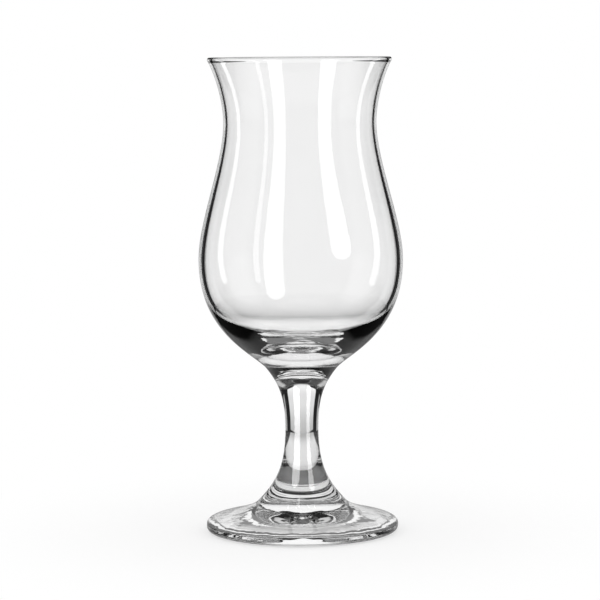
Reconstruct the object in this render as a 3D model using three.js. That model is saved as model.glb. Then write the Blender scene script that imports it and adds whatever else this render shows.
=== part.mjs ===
// Poco grande glass: a blown tulip bowl fused to a solid stem and a pressed round foot.
// Millimetres, +Z up, origin on the table at the centre of the foot.
import * as THREE from "three";

// Foot: heights are above the table
const FOOT_DIAMETER = 73.5;
const FOOT_HEIGHT = 11;
const FOOT_EDGE_HEIGHT = 1.9;
const FOOT_SHOULDER_HEIGHT = 5;
const FOOT_SHOULDER_DIAMETER = 67.2;
const FOOT_TOP_SLOPE = 13.4;
const REST_RING_OUTER_DIAMETER = 68.8;
const REST_RING_WIDTH = 2.4;
const HOLLOW_DEPTH = 5;
const HOLLOW_EDGE_SLOPE = 13;

// Stem: heights are above the weld to the foot
const STEM_LENGTH = 51.5;
const STEM_NECK_DIAMETER = 12.7;
const STEM_NECK_HEIGHT = 28.5;
const STEM_FOOT_DIAMETER = 34.2;
const STEM_FOOT_LEAN = 44;
const STEM_TOP_DIAMETER = 26.8;
const STEM_TOP_LEAN = 38.2;

// Bowl: heights are above the weld to the stem, the waist's drop is below the rim
const BOWL_HEIGHT = 118.5;
const RIM_DIAMETER = 70;
const RIM_LEAN = 25.8;
const WAIST_DIAMETER = 58.1;
const WAIST_DROP = 24.7;
const BELLY_DIAMETER = 77.9;
const BELLY_HEIGHT = 41.7;
const FLOOR_THICKNESS = 9.5;

// Walls of the bowl
const RIM_WALL = 1.35;
const WAIST_WALL = 1.5;
const BELLY_WALL = 2.4;

// Finish and fineness
const GLASS_COLOUR = 0xf4f7f7;
const GLASS_ROUGHNESS = 0.02;
const GLASS_OPACITY = 0.35;
const FACETS_ROUND = 40;
const STEPS_PER_CURVE = 8;

// Heights of the two welds and of the rim
const FOOT_WELD = FOOT_HEIGHT;
const BOWL_WELD = FOOT_WELD + STEM_LENGTH;
const RIM_TOP = BOWL_WELD + BOWL_HEIGHT;

// A station is a point of an outline and the way the outline climbs there.
// Its lean is in degrees from upright, outwards.
function station(radius, height, lean) {
  const angle = THREE.MathUtils.degToRad(lean);
  return {
    point: new THREE.Vector2(radius, height),
    climb: new THREE.Vector2(Math.sin(angle), Math.cos(angle)),
  };
}

// Draws an outline on to the next station, up or down.
// Each pull is a share of the distance between the two stations.
function sweep(outline, from, to, fromPull, toPull) {
  const span = from.point.distanceTo(to.point);
  const way = to.point.y > from.point.y ? 1 : -1;
  const leave = from.climb.clone().multiplyScalar(way * fromPull * span).add(from.point);
  const arrive = to.climb.clone().multiplyScalar(-way * toPull * span).add(to.point);
  outline.bezierCurveTo(leave.x, leave.y, arrive.x, arrive.y, to.point.x, to.point.y);
}

// Turns an outline, which runs from the axis out and back to the axis, into one solid about +Z.
function turned(name, outline) {
  const geometry = new THREE.LatheGeometry(outline.getPoints(STEPS_PER_CURVE), FACETS_ROUND);
  geometry.rotateX(Math.PI / 2);
  const material = new THREE.MeshStandardMaterial({
    color: GLASS_COLOUR,
    roughness: GLASS_ROUGHNESS,
    metalness: 0,
    transparent: true,
    opacity: GLASS_OPACITY,
  });
  const mesh = new THREE.Mesh(geometry, material);
  mesh.name = name;
  return mesh;
}

// The stations that two pieces share at each weld
const footWeld = station(STEM_FOOT_DIAMETER / 2, FOOT_WELD, -STEM_FOOT_LEAN);
const bowlWeld = station(STEM_TOP_DIAMETER / 2, BOWL_WELD, STEM_TOP_LEAN);

// Foot: hollow underneath, flat resting ring, rounded edge, sloping top that turns up to the stem
function foot() {
  const ringOuter = REST_RING_OUTER_DIAMETER / 2;
  const hollowTop = station(0, HOLLOW_DEPTH, -90);
  const hollowEdge = station(ringOuter - REST_RING_WIDTH, 0, HOLLOW_EDGE_SLOPE - 90);
  const edge = station(FOOT_DIAMETER / 2, FOOT_EDGE_HEIGHT, 0);
  const shoulder = station(FOOT_SHOULDER_DIAMETER / 2, FOOT_SHOULDER_HEIGHT, FOOT_TOP_SLOPE - 90);
  const outline = new THREE.Path();
  outline.moveTo(0, HOLLOW_DEPTH);
  sweep(outline, hollowTop, hollowEdge, 0.3, 0.3);
  outline.lineTo(ringOuter, 0);
  sweep(outline, station(ringOuter, 0, 90), edge, 0.5, 0.35);
  sweep(outline, edge, shoulder, 0.25, 0.8);
  sweep(outline, shoulder, footWeld, 0.515, 0.154);
  outline.lineTo(0, FOOT_WELD);
  return turned("foot", outline);
}

// Stem: narrow neck between the flare on the foot and the flare under the bowl
function stem() {
  const neck = station(STEM_NECK_DIAMETER / 2, FOOT_WELD + STEM_NECK_HEIGHT, 0);
  const outline = new THREE.Path();
  outline.moveTo(0, FOOT_WELD);
  outline.lineTo(footWeld.point.x, FOOT_WELD);
  sweep(outline, footWeld, neck, 0.36, 0.47);
  sweep(outline, neck, bowlWeld, 0.49, 0.318);
  outline.lineTo(0, BOWL_WELD);
  return turned("stem", outline);
}

// Bowl: outside up to the rim, round the rim's bead, then inside down to the floor
function bowl() {
  const waistHeight = RIM_TOP - WAIST_DROP;
  const bellyHeight = BOWL_WELD + BELLY_HEIGHT;
  const bead = RIM_WALL / 2;
  const beadRadius = RIM_DIAMETER / 2 - bead;
  const beadHeight = RIM_TOP - bead;
  const lean = THREE.MathUtils.degToRad(RIM_LEAN);
  const acrossX = bead * Math.cos(lean);
  const acrossZ = bead * Math.sin(lean);
  const belly = station(BELLY_DIAMETER / 2, bellyHeight, 0);
  const waist = station(WAIST_DIAMETER / 2, waistHeight, 0);
  const rim = station(beadRadius + acrossX, beadHeight - acrossZ, RIM_LEAN);
  const innerRim = station(beadRadius - acrossX, beadHeight + acrossZ, RIM_LEAN);
  const innerWaist = station(WAIST_DIAMETER / 2 - WAIST_WALL, waistHeight, 0);
  const innerBelly = station(BELLY_DIAMETER / 2 - BELLY_WALL, bellyHeight, 0);
  const floor = station(0, BOWL_WELD + FLOOR_THICKNESS, 90);
  const outline = new THREE.Path();
  outline.moveTo(0, BOWL_WELD);
  outline.lineTo(bowlWeld.point.x, BOWL_WELD);
  sweep(outline, bowlWeld, belly, 0.146, 0.58);
  sweep(outline, belly, waist, 0.279, 0.284);
  sweep(outline, waist, rim, 0.313, 0.293);
  outline.absarc(beadRadius, beadHeight, bead, -lean, Math.PI - lean, false);
  sweep(outline, innerRim, innerWaist, 0.293, 0.313);
  sweep(outline, innerWaist, innerBelly, 0.284, 0.279);
  sweep(outline, innerBelly, floor, 0.584, 0.333);
  return turned("bowl", outline);
}

const glass = new THREE.Group();
glass.add(foot(), stem(), bowl());
export default glass;
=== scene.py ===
# A clear poco grande glass, standing empty on a pale floor in soft studio light.
import math

import bmesh
import bpy
from mathutils import Matrix, Vector
from mathutils.geometry import interpolate_bezier


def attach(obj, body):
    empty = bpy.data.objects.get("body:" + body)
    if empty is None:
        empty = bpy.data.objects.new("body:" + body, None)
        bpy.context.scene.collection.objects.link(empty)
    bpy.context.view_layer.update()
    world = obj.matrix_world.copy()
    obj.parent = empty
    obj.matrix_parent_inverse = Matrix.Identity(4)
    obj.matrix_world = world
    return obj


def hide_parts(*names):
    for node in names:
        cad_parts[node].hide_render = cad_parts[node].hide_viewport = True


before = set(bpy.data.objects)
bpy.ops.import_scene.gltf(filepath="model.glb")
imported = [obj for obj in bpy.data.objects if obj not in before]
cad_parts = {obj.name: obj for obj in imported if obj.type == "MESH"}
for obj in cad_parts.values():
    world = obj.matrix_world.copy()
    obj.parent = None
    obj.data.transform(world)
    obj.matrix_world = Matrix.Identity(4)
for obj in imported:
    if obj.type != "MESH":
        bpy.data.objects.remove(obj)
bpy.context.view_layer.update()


# Foot: the broad round plate that the glass stands on, pressed from clear soda-lime glass.
# Its top slopes up from a rounded edge to the stem, and underneath a shallow hollow leaves
# a narrow flat ring that touches the table. The stem is fused to its middle.
MM = 0.001
SPIN_STEPS = 144
MERGE_NEAR = 2e-6
WELD_NEAR = 1e-6
FOOT_RADIUS = 36.75
FOOT_EDGE_HEIGHT = 1.9
FOOT_SHOULDER_RADIUS = 33.6
FOOT_SHOULDER_HEIGHT = 5.0
FOOT_TOP_SLOPE = 13.4
REST_RING_OUTER = 34.4
REST_RING_INNER = 32.0
HOLLOW_DEPTH = 5.0
HOLLOW_EDGE_SLOPE = 13.0
FOOT_WELD_HEIGHT = 11.0
FOOT_WELD_RADIUS = 17.1
FOOT_WELD_LEAN = -44.0
HOLLOW_PULLS = (0.3, 0.3)
RING_PULLS = (0.5, 0.35)
FOOT_EDGE_PULLS = (0.25, 0.8)
FOOT_TOP_PULLS = (0.515, 0.154)
GLASS_INDEX = 1.52
TRAPPED_BOUNCES = 2.5
RIPPLE_DETAIL = 2.0
RIPPLE_CALMS_OVER = 0.012
RIPPLE_LEFT = 0.04
FOOT_RIPPLE_SCALE = 140
FOOT_RIPPLE_DEPTH = 0.12
FOOT_TRAPS_BEYOND = 0.0335


def station(radius, height, lean):
    """A point of an outline and the way the outline climbs there, in degrees from upright, outwards."""
    angle = math.radians(lean)
    return Vector((radius, 0, height)), Vector((math.sin(angle), 0, math.cos(angle)))


def sweep(start, end, pulls, steps=48):
    """Points of the smooth outline from one station to the next, up or down.

    The pulls say how far the outline keeps the way it has at its start and at its end.
    """
    (a, a_climb), (b, b_climb) = start, end
    reach = (b - a).length * (1 if b.z > a.z else -1)
    return interpolate_bezier(a, a + a_climb * reach * pulls[0], b - b_climb * reach * pulls[1], b, steps)


def turned(name, outline, glass, joint, weld_heights):
    """Spins an outline in millimetres about the upright axis into one closed piece of glass."""
    mesh = bmesh.new()
    points = [mesh.verts.new(p * MM) for p in outline]
    edges = [mesh.edges.new(pair) for pair in zip(points, points[1:])]
    bmesh.ops.spin(
        mesh, geom=points + edges, cent=(0, 0, 0), axis=(0, 0, 1), angle=math.tau,
        steps=SPIN_STEPS, use_merge=True,
    )
    bmesh.ops.remove_doubles(mesh, verts=mesh.verts, dist=MERGE_NEAR)
    bmesh.ops.recalc_face_normals(mesh, faces=mesh.faces)
    for face in mesh.faces:
        face.smooth = True
        for height in weld_heights:
            if all(abs(v.co.z - height * MM) < WELD_NEAR for v in face.verts):
                face.material_index = 1
    for edge in mesh.edges:
        if len({face.material_index for face in edge.link_faces}) > 1:
            edge.smooth = False
    data = bpy.data.meshes.new(name)
    mesh.to_mesh(data)
    mesh.free()
    data.materials.append(glass)
    data.materials.append(joint)
    piece = bpy.data.objects.new(name, data)
    bpy.context.collection.objects.link(piece)
    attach(piece, "root")
    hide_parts(name.removesuffix("_glass"))
    return piece


def reckon(tree, operation, *values):
    """One sum in a node tree, from plain numbers and other sums."""
    node = tree.nodes.new("ShaderNodeMath")
    node.operation = operation
    for socket, value in zip(node.inputs, values):
        if isinstance(value, (int, float)):
            socket.default_value = value
        else:
            tree.links.new(value, socket)
    return node.outputs[0]


def times(tree, first, *others):
    """The product of several sums in a node tree."""
    for other in others:
        first = reckon(tree, "MULTIPLY", first, other)
    return first


def rises(tree, value, start, end, low=0, high=1):
    """Low before start, high past end, and soft between."""
    node = tree.nodes.new("ShaderNodeMapRange")
    node.interpolation_type = "SMOOTHSTEP"
    node.inputs["From Min"].default_value = start
    node.inputs["From Max"].default_value = end
    node.inputs["To Min"].default_value = low
    node.inputs["To Max"].default_value = high
    tree.links.new(value, node.inputs["Value"])
    return node.outputs["Result"]


def past(tree, count, limit=0.5, low=0, high=1):
    """Low while a count or a yes-or-no is under the limit, and high past it."""
    return rises(tree, count, limit - 0.1, limit + 0.1, low, high)


def place_in(tree):
    """The X, Y and Z of a point, in the frame of the object."""
    place = tree.nodes.new("ShaderNodeTexCoord")
    split = tree.nodes.new("ShaderNodeSeparateXYZ")
    tree.links.new(place.outputs["Object"], split.inputs[0])
    return split.outputs


def from_axis(tree):
    """How far a point is from the upright axis of the glass."""
    across, back, _ = place_in(tree)
    square = reckon(tree, "ADD", reckon(tree, "POWER", across, 2), reckon(tree, "POWER", back, 2))
    return reckon(tree, "SQRT", square)


ripple_group = bpy.data.node_groups.new("Glass ripple", "ShaderNodeTree")
for name, in_out, kind in (
    ("Place", "INPUT", "NodeSocketVector"), ("Scale", "INPUT", "NodeSocketFloat"),
    ("Flow", "INPUT", "NodeSocketVector"), ("Still Above", "INPUT", "NodeSocketFloat"),
    ("Height", "OUTPUT", "NodeSocketFloat"),
):
    ripple_group.interface.new_socket(name, in_out=in_out, socket_type=kind)
ripple_in = ripple_group.nodes.new("NodeGroupInput")
ripple_out = ripple_group.nodes.new("NodeGroupOutput")
drawn_out = ripple_group.nodes.new("ShaderNodeVectorMath")
drawn_out.operation = "MULTIPLY"
wave = ripple_group.nodes.new("ShaderNodeTexNoise")
wave.inputs["Detail"].default_value = RIPPLE_DETAIL
climb_split = ripple_group.nodes.new("ShaderNodeSeparateXYZ")
ripple_group.links.new(ripple_in.outputs["Place"], drawn_out.inputs[0])
ripple_group.links.new(ripple_in.outputs["Flow"], drawn_out.inputs[1])
ripple_group.links.new(drawn_out.outputs["Vector"], wave.inputs["Vector"])
ripple_group.links.new(ripple_in.outputs["Scale"], wave.inputs["Scale"])
ripple_group.links.new(ripple_in.outputs["Place"], climb_split.inputs[0])
above_still = reckon(ripple_group, "SUBTRACT", climb_split.outputs["Z"], ripple_in.outputs["Still Above"])
stir = rises(ripple_group, above_still, -RIPPLE_CALMS_OVER, 0, 1, RIPPLE_LEFT)
ripple_group.links.new(times(ripple_group, wave.outputs["Fac"], stir), ripple_out.inputs["Height"])


def clear_glass(name, ripple_scale, ripple_flow, ripple_depth, still_above=1, traps_beyond=1):
    """Polished clear glass with the faint ripple that is left from shaping it hot.

    Light that it traps goes straight on after a few bounces and doesn't end as black, but further
    from the axis than traps_beyond, in metres, it stays trapped, as it does in the real glass.
    """
    material = bpy.data.materials.new(name)
    material.use_nodes = True
    tree = material.node_tree
    shader = tree.nodes["Principled BSDF"]
    shader.inputs["Base Color"].default_value = (1, 1, 1, 1)
    shader.inputs["Roughness"].default_value = 0
    shader.inputs["Transmission Weight"].default_value = 1
    shader.inputs["IOR"].default_value = GLASS_INDEX
    bounces = tree.nodes.new("ShaderNodeLightPath").outputs["Glossy Depth"]
    kept = rises(tree, from_axis(tree), traps_beyond - MM, traps_beyond)
    let_out = reckon(tree, "SUBTRACT", past(tree, bounces, TRAPPED_BOUNCES), kept)
    let_out = reckon(tree, "MAXIMUM", let_out, 0)
    index = reckon(tree, "SUBTRACT", GLASS_INDEX, times(tree, let_out, GLASS_INDEX - 1))
    tree.links.new(index, shader.inputs["IOR"])
    place = tree.nodes.new("ShaderNodeTexCoord")
    ripple = tree.nodes.new("ShaderNodeGroup")
    ripple.node_tree = ripple_group
    ripple.inputs["Scale"].default_value = ripple_scale
    ripple.inputs["Flow"].default_value = ripple_flow
    ripple.inputs["Still Above"].default_value = still_above
    bump = tree.nodes.new("ShaderNodeBump")
    bump.inputs["Distance"].default_value = ripple_depth * MM
    tree.links.new(place.outputs["Object"], ripple.inputs["Place"])
    tree.links.new(ripple.outputs["Height"], bump.inputs["Height"])
    tree.links.new(bump.outputs["Normal"], shader.inputs["Normal"])
    return material


fused_joint = bpy.data.materials.new("fused joint")
fused_joint.use_nodes = True
fused_joint.node_tree.nodes["Principled BSDF"].inputs["Alpha"].default_value = 0

foot_edge = station(FOOT_RADIUS, FOOT_EDGE_HEIGHT, 0)
foot_shoulder = station(FOOT_SHOULDER_RADIUS, FOOT_SHOULDER_HEIGHT, FOOT_TOP_SLOPE - 90)
foot_weld = station(FOOT_WELD_RADIUS, FOOT_WELD_HEIGHT, FOOT_WELD_LEAN)
hollow_top = station(0, HOLLOW_DEPTH, -90)
hollow_edge = station(REST_RING_INNER, 0, HOLLOW_EDGE_SLOPE - 90)
ring_edge = station(REST_RING_OUTER, 0, 90)
foot_outline = sweep(hollow_top, hollow_edge, HOLLOW_PULLS)
foot_outline += sweep(ring_edge, foot_edge, RING_PULLS, steps=24)
foot_outline += sweep(foot_edge, foot_shoulder, FOOT_EDGE_PULLS, steps=24)
foot_outline += sweep(foot_shoulder, foot_weld, FOOT_TOP_PULLS)
foot_outline.append(Vector((0, 0, FOOT_WELD_HEIGHT)))
foot_glass = clear_glass(
    "pressed foot glass", FOOT_RIPPLE_SCALE, (1, 1, 1), FOOT_RIPPLE_DEPTH, traps_beyond=FOOT_TRAPS_BEYOND
)
turned("foot_glass", foot_outline, foot_glass, fused_joint, [FOOT_WELD_HEIGHT])


# Stem: a short solid column of the same clear glass, drawn in to a narrow neck.
# It flares down to the foot and up to the bowl, and is fused to both.
STEM_NECK_RADIUS = 6.35
STEM_NECK_HEIGHT = 39.5
BOWL_WELD_HEIGHT = 62.5
BOWL_WELD_RADIUS = 13.4
BOWL_WELD_LEAN = 38.2
LOW_STEM_PULLS = (0.36, 0.47)
HIGH_STEM_PULLS = (0.49, 0.318)
STEM_RIPPLE_SCALE = 60
STEM_RIPPLE_FLOW = (1, 1, 0.4)
STEM_RIPPLE_DEPTH = 0.01

neck = station(STEM_NECK_RADIUS, STEM_NECK_HEIGHT, 0)
bowl_weld = station(BOWL_WELD_RADIUS, BOWL_WELD_HEIGHT, BOWL_WELD_LEAN)
stem_outline = [Vector((0, 0, FOOT_WELD_HEIGHT))]
stem_outline += sweep(foot_weld, neck, LOW_STEM_PULLS)
stem_outline += sweep(neck, bowl_weld, HIGH_STEM_PULLS)
stem_outline.append(Vector((0, 0, BOWL_WELD_HEIGHT)))
stem_glass = clear_glass("drawn stem glass", STEM_RIPPLE_SCALE, STEM_RIPPLE_FLOW, STEM_RIPPLE_DEPTH)
stem = turned("stem_glass", stem_outline, stem_glass, fused_joint, [FOOT_WELD_HEIGHT, BOWL_WELD_HEIGHT])


# Bowl: the blown tulip that holds the drink, with a full belly, a drawn-in waist and a flared rim.
# Clear glass, thin and fire-rounded at the rim, thicker down the belly to a solid round floor.
# The underside is fused to the top of the stem.
RIM_HEIGHT = 181.0
RIM_RADIUS = 35.0
RIM_LEAN = 25.8
RIM_BEAD = 1.75
RIM_WALL = 1.3
BEAD_REACH = 1.15
BEAD_PROUD = 0.04
BEAD_STEPS = 18
WAIST_HEIGHT = 156.3
WAIST_RADIUS = 29.05
WAIST_WALL = 1.5
BELLY_HEIGHT = 104.2
BELLY_RADIUS = 38.95
BELLY_WALL = 2.4
FLOOR_HEIGHT = 72.0
LOW_BOWL_PULLS = (0.146, 0.58)
WAIST_PULLS = (0.279, 0.284)
FLARE_PULLS = (0.313, 0.293)
BEAD_PULLS = (0.5, 0.5)
FLOOR_PULLS = (0.584, 0.333)
BOWL_RIPPLE_SCALE = 130
BOWL_RIPPLE_FLOW = (1, 1, 0.6)
BOWL_RIPPLE_DEPTH = 0.1
BOWL_STILL_ABOVE = 0.082
BOWL_TRAPS_BEYOND = 0.014

bead = RIM_BEAD / 2
bead_middle = Vector((RIM_RADIUS - bead, 0, RIM_HEIGHT - bead))
rim_climb = Vector((math.sin(math.radians(RIM_LEAN)), 0, math.cos(math.radians(RIM_LEAN))))
rim_across = Vector((rim_climb.z, 0, -rim_climb.x))
under_bead = bead_middle - rim_climb * BEAD_REACH
outer_neck = (under_bead + rim_across * (bead - BEAD_PROUD), rim_climb)
inner_neck = (under_bead + rim_across * (bead - BEAD_PROUD - RIM_WALL), rim_climb)
outer_rim = (bead_middle + rim_across * bead, rim_climb)
inner_rim = (bead_middle - rim_across * bead, rim_climb)
belly = station(BELLY_RADIUS, BELLY_HEIGHT, 0)
waist = station(WAIST_RADIUS, WAIST_HEIGHT, 0)
inner_waist = station(WAIST_RADIUS - WAIST_WALL, WAIST_HEIGHT, 0)
inner_belly = station(BELLY_RADIUS - BELLY_WALL, BELLY_HEIGHT, 0)
bowl_floor = station(0, FLOOR_HEIGHT, 90)
bowl_outline = [Vector((0, 0, BOWL_WELD_HEIGHT))]
bowl_outline += sweep(bowl_weld, belly, LOW_BOWL_PULLS, steps=64)
bowl_outline += sweep(belly, waist, WAIST_PULLS)
bowl_outline += sweep(waist, outer_neck, FLARE_PULLS)
bowl_outline += sweep(outer_neck, outer_rim, BEAD_PULLS, steps=12)
bowl_outline += [
    bead_middle + Matrix.Rotation(-math.pi * turn / BEAD_STEPS, 3, "Y") @ rim_across * bead
    for turn in range(1, BEAD_STEPS)
]
bowl_outline += sweep(inner_rim, inner_neck, BEAD_PULLS, steps=12)
bowl_outline += sweep(inner_neck, inner_waist, FLARE_PULLS[::-1])
bowl_outline += sweep(inner_waist, inner_belly, WAIST_PULLS[::-1])
bowl_outline += sweep(inner_belly, bowl_floor, FLOOR_PULLS, steps=80)
bowl_glass = clear_glass(
    "blown bowl glass", BOWL_RIPPLE_SCALE, BOWL_RIPPLE_FLOW, BOWL_RIPPLE_DEPTH,
    BOWL_STILL_ABOVE, BOWL_TRAPS_BEYOND,
)
turned("bowl_glass", bowl_outline, bowl_glass, fused_joint, [BOWL_WELD_HEIGHT])


# Floor: a small round table top of matt white board, a hair below the foot's ring. The view sees it
# white, with the soft shade of the glass. In the glass its tone is painted: white round the foot,
# painted dark past that as shade, with painted shade towards the card, and painted dimmer where
# it is mirrored or seen straight through the stem.
TABLE_RADIUS = 0.22
TABLE_DROP = 0.0003
TABLE_SIDES = 128
SHADE_KEPT = 0.45
SHADE_FULL_TO = 0.05
SHADE_GONE_FROM = 0.15
BOARD_PAINTED_DARK = 0.08
WHITE_SIDE_TO = 0.062
DARK_SIDE_FROM = 0.078
WHITE_WIDENS_FROM = 0.03
WHITE_WIDENS_BY = 0.3
DARK_FRONT_TO = -0.1
WHITE_FRONT_FROM = -0.045
WHITE_BACK_TO = 0.1
CARD_BACK = 0.215
BOARD_BACK_PAINTED_SHADE = 0.6
BOARD_MIRROR_PAINTED_SHADE = 0.4
STEM_PAINTED_SHADE = 0.8
TWO_WALLS = 3.5
BESIDE_FROM = 0.1
BESIDE_FULL_FROM = 0.14
BOARD_GLOW = 0.5


def rest_of(tree, share):
    """What a share leaves of the whole."""
    return reckon(tree, "SUBTRACT", 1, share)


def mirrored_in(tree, ray):
    """1 for what a polished face mirrors, and 0 for what is seen through it."""
    return reckon(tree, "SUBTRACT", ray.outputs["Is Glossy Ray"], ray.outputs["Is Transmission Ray"])


top = bmesh.new()
bmesh.ops.create_circle(top, cap_ends=True, segments=TABLE_SIDES, radius=TABLE_RADIUS)
bmesh.ops.translate(top, verts=top.verts, vec=(0, 0, -TABLE_DROP))
table_mesh = bpy.data.meshes.new("table_top")
top.to_mesh(table_mesh)
top.free()
board = bpy.data.materials.new("matt white board")
board.use_nodes = True
tree = board.node_tree
across, back, _ = place_in(tree)
aside = reckon(tree, "ABSOLUTE", across)
behind = reckon(tree, "MAXIMUM", reckon(tree, "SUBTRACT", back, WHITE_WIDENS_FROM), 0)
side = reckon(tree, "SUBTRACT", aside, times(tree, behind, WHITE_WIDENS_BY))
# Painted shade: the board darkens towards the card, as in the crease where they meet.
back_painted_shade = rises(tree, back, WHITE_BACK_TO, CARD_BACK, 1, BOARD_BACK_PAINTED_SHADE)
ray = tree.nodes.new("ShaderNodeLightPath")
viewed = ray.outputs["Is Camera Ray"]
unbounced = past(tree, ray.outputs["Glossy Depth"], low=1, high=0)
straight = times(tree, unbounced, ray.outputs["Is Transmission Ray"])
through_bowl = times(tree, straight, past(tree, ray.outputs["Transmission Depth"], TWO_WALLS))
through_stem = reckon(tree, "SUBTRACT", straight, through_bowl)
# Painted shade in the board's tone: past its sides and front, in mirrors and through the stem.
tone = times(
    tree,
    rises(tree, side, WHITE_SIDE_TO, DARK_SIDE_FROM, 1, BOARD_PAINTED_DARK),
    rises(tree, back, DARK_FRONT_TO, WHITE_FRONT_FROM, BOARD_PAINTED_DARK, 1),
    back_painted_shade,
    past(tree, mirrored_in(tree, ray), low=1, high=BOARD_MIRROR_PAINTED_SHADE),
    past(tree, through_stem, low=1, high=STEM_PAINTED_SHADE),
)
# Straight through the bowl's two walls the board is white to its sides, partly by its own painted glow.
beside = rises(tree, aside, BESIDE_FROM, BESIDE_FULL_FROM)
bowl_tone = times(tree, through_bowl, reckon(tree, "MAXIMUM", back_painted_shade, beside))
tone = reckon(tree, "MAXIMUM", tone, bowl_tone)
# Painted light: straight through the glass, at least half of the board's tone is its own glow.
glow_share = reckon(tree, "MAXIMUM", times(tree, through_bowl, beside), BOARD_GLOW)
glow = times(tree, tone, straight, glow_share)
unlit_tone = reckon(tree, "SUBTRACT", tone, glow)
shade = rises(tree, from_axis(tree), SHADE_FULL_TO, SHADE_GONE_FROM, SHADE_KEPT, 0)
shade_seen = times(tree, shade, viewed)
board_tone = reckon(tree, "ADD", times(tree, unlit_tone, rest_of(tree, viewed)), shade_seen)
board_glow = reckon(tree, "ADD", glow, reckon(tree, "SUBTRACT", viewed, shade_seen))
board_shader = tree.nodes["Principled BSDF"]
board_shader.inputs["Roughness"].default_value = 1
board_shader.inputs["Specular IOR Level"].default_value = 0
board_shader.inputs["Emission Color"].default_value = (1, 1, 1, 1)
tree.links.new(board_tone, board_shader.inputs["Base Color"])
tree.links.new(board_glow, board_shader.inputs["Emission Strength"])
table_mesh.materials.append(board)
table = bpy.data.objects.new("table_top", table_mesh)
bpy.context.collection.objects.link(table)


# Back card: an upright sheet of lit white card close behind the glass, which the glass shows through.
# Only the glass sees it, with painted shade: dimmer where the glass mirrors it or has bounced its
# light, dimmer low down seen straight through the stem, and darker at its foot as shade in the crease
# with the floor. Past the card's sides the glass picks up the dark of the room as dark lines.
CARD_SIDE = 0.13
CARD_SHOULDER = 0.195
CARD_NECK_SIDE = 0.065
CARD_TOP_SIDE = 0.02
CARD_TOP = 0.4
CARD_FOOT_PAINTED_SHADE = 0.6
CARD_FOOT_HEIGHT = 0.07
CARD_STEM_FROM = 0.1
CARD_STEM_TO = 0.19
CARD_BOUNCE_PAINTED_SHADE = 0.2
SHADED_PAST_BOUNCES = 1.5
CARD_LOW_TO = 0.09
CARD_LOW_SOFT = 0.01
CARD_KEPT_FROM = 0.14
CARD_KEPT_TO = 0.185
CARD_KEPT_SOFT = 0.015
CARD_KEPT_ABOVE = 0.26
CARD_ABOVE_SOFT = 0.02
CARD_MIRROR_PAINTED_SHADE = 0.6


def lit_sheet(name, sheet, strength):
    """A flat sheet that glows evenly and that the view itself doesn't see, and its material's tree."""
    data = bpy.data.meshes.new(name)
    sheet.to_mesh(data)
    sheet.free()
    glow = bpy.data.materials.new(name + " glow")
    glow.use_nodes = True
    shader = glow.node_tree.nodes["Principled BSDF"]
    shader.inputs["Base Color"].default_value = (0, 0, 0, 1)
    shader.inputs["Specular IOR Level"].default_value = 0
    shader.inputs["Emission Color"].default_value = (1, 1, 1, 1)
    shader.inputs["Emission Strength"].default_value = strength
    data.materials.append(glow)
    lit = bpy.data.objects.new(name, data)
    bpy.context.collection.objects.link(lit)
    lit.visible_camera = False
    return lit, glow.node_tree


right_edge = [
    (CARD_SIDE, 0), (CARD_SIDE, CARD_SHOULDER), (CARD_NECK_SIDE, CARD_SHOULDER), (CARD_TOP_SIDE, CARD_TOP),
]
left_edge = [(-x, z) for x, z in reversed(right_edge)]
card = bmesh.new()
card.faces.new([card.verts.new((x, CARD_BACK, z)) for x, z in left_edge[-1:] + right_edge + left_edge[:-1]])
tree = lit_sheet("back_card", card, 1)[1]
up_card = place_in(tree)[2]
ray = tree.nodes.new("ShaderNodeLightPath")
bounces = ray.outputs["Glossy Depth"]
# Painted shade: seen straight through the stem, the card is dimmer low down.
through_stem = times(
    tree,
    past(tree, bounces, low=1, high=0),
    past(tree, ray.outputs["Transmission Depth"], TWO_WALLS, low=1, high=0),
    rises(tree, up_card, CARD_STEM_FROM, CARD_STEM_TO, 1 - STEM_PAINTED_SHADE, 0),
)
# Painted shade: light that has bounced in the glass sees the card dimmer, except one band and its top.
below_band = rises(tree, up_card, CARD_KEPT_FROM, CARD_KEPT_FROM + CARD_KEPT_SOFT, 1 - CARD_BOUNCE_PAINTED_SHADE, 0)
above_band = rises(tree, up_card, CARD_KEPT_TO, CARD_KEPT_TO + CARD_KEPT_SOFT, 0, 1 - CARD_BOUNCE_PAINTED_SHADE)
low_card = rises(tree, up_card, CARD_LOW_TO, CARD_LOW_TO + CARD_LOW_SOFT, 1, 0)
bounce_painted_shade = times(
    tree,
    reckon(tree, "ADD", below_band, above_band),
    rises(tree, up_card, CARD_KEPT_ABOVE, CARD_KEPT_ABOVE + CARD_ABOVE_SOFT, 1, 0),
    past(tree, reckon(tree, "SUBTRACT", bounces, low_card), SHADED_PAST_BOUNCES),
)
# Painted shade in the crease at the card's foot, and painted dimming in the glass's mirror.
card_tone = times(
    tree,
    rises(tree, up_card, -CARD_FOOT_HEIGHT, CARD_FOOT_HEIGHT, 2 * CARD_FOOT_PAINTED_SHADE - 1, 1),
    rest_of(tree, through_stem),
    rest_of(tree, bounce_painted_shade),
    past(tree, mirrored_in(tree, ray), low=1, high=CARD_MIRROR_PAINTED_SHADE),
)
tree.links.new(card_tone, tree.nodes["Principled BSDF"].inputs["Emission Strength"])


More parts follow.
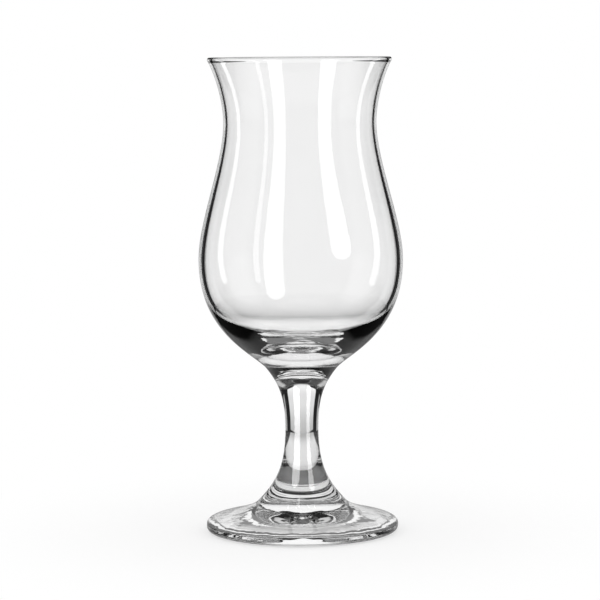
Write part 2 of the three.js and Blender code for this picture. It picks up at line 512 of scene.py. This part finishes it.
# Lamps: narrow strips of light with round ends, close round the glass. Only its polished outside mirrors
# them, five in the bowl and two in the stem alone. Each has a bearing (0 is behind the glass, 90 to its
# right), a place across, a lean, a width, a bottom, a top and a strength, in degrees and millimetres.
LAMP_AWAY = 42
LAMP_STRIPS = {
    "lamp_far_left": (-92, -15.2, 10.9, 4.0, 93, 182, 3),
    "lamp_thin": (-144, -3.3, 5.4, 2.6, 97, 182, 3),
    "lamp_left": (-156, -4.2, 2.7, 8.8, 89, 182, 4),
    "lamp_right": (148, 5.5, 1.0, 9.8, 107, 182, 4),
    "lamp_far_right": (108, 7.9, -10.6, 4.0, 93, 182, 3),
    "lamp_stem_left": (-150, 0, 0, 28, 1, 60, 9),
    "lamp_stem_right": (139, 0, 0, 17, 1, 64, 7),
}
STEM_LAMPS = ("lamp_stem_left", "lamp_stem_right")
ROUND_END = 0.499
ROUND_END_STEPS = 16

lit_stem = bpy.data.collections.new("lit_stem")
lit_stem.objects.link(stem)
for name, (bearing_to, across, lean, width, bottom, top_end, strength) in LAMP_STRIPS.items():
    strip = bmesh.new()
    bmesh.ops.create_grid(strip, x_segments=1, y_segments=1, size=0.5)
    bmesh.ops.scale(strip, verts=strip.verts, vec=(width * MM, (top_end - bottom) * MM, 1))
    bmesh.ops.bevel(
        strip, geom=strip.verts[:], offset=width * ROUND_END * MM, offset_type="OFFSET",
        segments=ROUND_END_STEPS, profile=0.5, affect="VERTICES", material=-1,
    )
    place = (
        Matrix.Rotation(-math.radians(bearing_to), 4, "Z")
        @ Matrix.Translation((across * MM, LAMP_AWAY * MM, (bottom + top_end) / 2 * MM))
        @ Matrix.Rotation(math.pi / 2, 4, "X")
        @ Matrix.Rotation(math.radians(-lean), 4, "Z")
    )
    bmesh.ops.transform(strip, matrix=place, verts=strip.verts)
    lamp = lit_sheet(name, strip, strength)[0]
    lamp.visible_transmission = lamp.visible_diffuse = lamp.visible_shadow = False
    if name in STEM_LAMPS:
        lamp.light_linking.receiver_collection = lit_stem


# Room: white all round for the view and the floor. What the glass bends or mirrors is a dim room with
# light panels, each with its edges in degrees of bearing and height, their softness and a strength.
# Straight light sees some of them, and light that has bounced inside the glass sees the others.
ROOM_DIM = 0.015
FRONT_SEEN = 0.02
FRONT_MIRRORED = 0.5
FRONT_DIM_TO = 62
FRONT_FULL_FROM = 110
STRAIGHT_PANELS = [
    (52, 66, -20, 25, 3, 0.45), (-66, -52, -20, 25, 3, 0.45),
    (66, 110, -95, 6, 2, 1.0), (-110, -66, -95, 6, 2, 1.0),
    (105, 200, -95, 95, 2, 1.0), (-200, -105, -95, 95, 2, 1.0), (-68, 68, -95, -15, 2, 1.0),
]
GLANCE_LIGHT = 0.55
GLANCE_STARTS = (34, 38)
GLANCE_FADES = (45, 105)
GLANCE_HEIGHTS = (-28, 8, 4)
HIGH_LIGHT = 0.9
HIGH_BEARINGS = (-30, 30, 4)
HIGH_HEIGHTS = (44, 72, 3)
HIGH_BOUNCES = 1.5
SIDE_LIGHT = 0.6
SIDE_BEARINGS = (72, 114, 6)
SIDE_HEIGHTS = (-2, 45, 6)


def between(tree, value, low, high, soft):
    """1 from low to high and 0 past them, with soft edges."""
    falls = rises(tree, reckon(tree, "MULTIPLY", value, -1), -high - soft, -high + soft)
    return times(tree, rises(tree, value, low - soft, low + soft), falls)


room = bpy.data.worlds.new("studio room")
room.use_nodes = True
bpy.context.scene.world = room
tree = room.node_tree
look = tree.nodes.new("ShaderNodeTexCoord")
look_split = tree.nodes.new("ShaderNodeSeparateXYZ")
tree.links.new(look.outputs["Generated"], look_split.inputs[0])
bearing = reckon(tree, "DEGREES", reckon(tree, "ARCTAN2", look_split.outputs["X"], look_split.outputs["Y"]))
height = reckon(tree, "DEGREES", reckon(tree, "ARCSINE", look_split.outputs["Z"]))
round_front = reckon(tree, "ABSOLUTE", bearing)
ray = tree.nodes.new("ShaderNodeLightPath")
bounces = ray.outputs["Glossy Depth"]
glance = times(
    tree,
    rises(tree, round_front, *GLANCE_STARTS, 0, GLANCE_LIGHT),
    rises(tree, round_front, *GLANCE_FADES, 1, 0),
    between(tree, height, *GLANCE_HEIGHTS),
    past(tree, bounces),
)
high_light = times(
    tree,
    between(tree, bearing, *HIGH_BEARINGS),
    between(tree, height, *HIGH_HEIGHTS),
    past(tree, bounces, HIGH_BOUNCES, high=HIGH_LIGHT),
)
side_light = times(
    tree,
    between(tree, round_front, *SIDE_BEARINGS),
    between(tree, height, *SIDE_HEIGHTS),
    past(tree, bounces, high=SIDE_LIGHT),
)
panels = [glance, high_light, side_light]
unbounced = past(tree, bounces, low=1, high=0)
for left, right, low, high, soft, strength in STRAIGHT_PANELS:
    window = times(tree, between(tree, bearing, left, right, soft), between(tree, height, low, high, soft))
    panels.append(times(tree, window, unbounced, strength))
panel_light = rises(tree, round_front, FRONT_DIM_TO, FRONT_FULL_FROM, ROOM_DIM, FRONT_SEEN)
for panel in panels:
    panel_light = reckon(tree, "MAXIMUM", panel_light, panel)
front_light = rises(tree, round_front, FRONT_DIM_TO, FRONT_FULL_FROM, ROOM_DIM, FRONT_MIRRORED)
through = ray.outputs["Is Transmission Ray"]
seen = times(tree, through, panel_light)
mirrored = times(tree, mirrored_in(tree, ray), front_light)
plain = rest_of(tree, reckon(tree, "MAXIMUM", through, ray.outputs["Is Glossy Ray"]))
room_light = reckon(tree, "ADD", reckon(tree, "ADD", seen, mirrored), plain)
tree.links.new(room_light, tree.nodes["Background"].inputs["Strength"])
tree.nodes["Background"].inputs["Color"].default_value = (1, 1, 1, 1)


# Camera: a long lens a little above the rim's height, a metre away and looking slightly down.
# Its place and its turns put the glass where the photograph has it.
CAMERA_ASIDE = -0.00038
CAMERA_AWAY = 1.0006
CAMERA_HEIGHT = 0.18624
CAMERA_DOWN = 0.09727
CAMERA_ROLL = 0.0067
LENS_LENGTH = 158.03
SENSOR_WIDTH = 36
NEAREST_SEEN = 0.01

lens = bpy.data.cameras.new("photo_view")
lens.sensor_width = SENSOR_WIDTH
lens.lens = LENS_LENGTH
lens.clip_start = NEAREST_SEEN
camera = bpy.data.objects.new("photo_view", lens)
bpy.context.collection.objects.link(camera)
camera.matrix_world = (
    Matrix.Translation((CAMERA_ASIDE, -CAMERA_AWAY, CAMERA_HEIGHT))
    @ Matrix.Rotation(math.pi / 2 - CAMERA_DOWN, 4, "X")
    @ Matrix.Rotation(-CAMERA_ROLL, 4, "Z")
)
bpy.context.scene.camera = camera
bpy.context.scene.view_settings.view_transform = "Standard"
